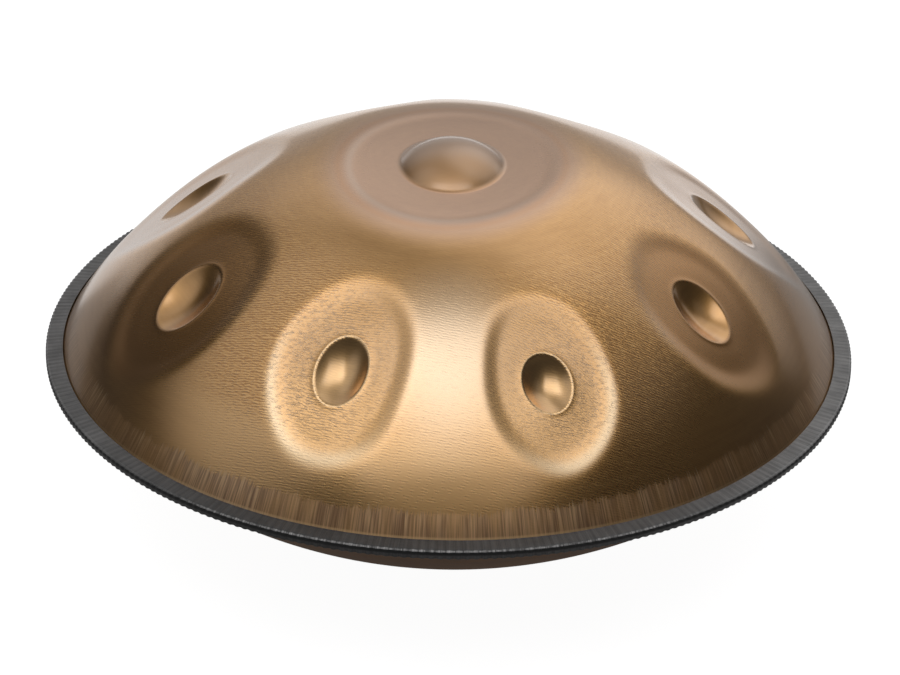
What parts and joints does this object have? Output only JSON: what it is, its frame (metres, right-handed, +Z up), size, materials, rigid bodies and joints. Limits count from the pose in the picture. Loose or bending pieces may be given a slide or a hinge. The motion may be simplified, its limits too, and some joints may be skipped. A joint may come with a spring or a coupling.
{
  "type": "handpan",
  "caption": "Bronze-coloured steel handpan: domed note shell with a central ding and oval tone fields, bowl with a round port, and a black rubber edge trim.",
  "frame": {"origin": "on the axis of the pan, in the plane of the face it rests on, under its bounding box's centre", "axes": "+Z up along the pan's axis, from the port to the ding; -Y is the player's side, with the two highest tone fields; +X is to the right from there"},
  "size_m": [0.536, 0.536, 0.2554],
  "materials": {
    "top_steel": "bronze-coloured steel, brushed and hatched, satin",
    "bottom_steel": "dark bronze-coloured steel, satin",
    "adhesive": "cured adhesive, dull",
    "trim_rubber": "black rubber with fine cross ribs, satin",
    "clip_steel": "plain stamped steel"
  },
  "bodies": {
    "root": {"top_shell": "top_steel", "bottom_shell": "bottom_steel", "bond_ring": "adhesive", "edge_trim": "trim_rubber", "trim_core": "clip_steel"}
  },
  "joints": []
}
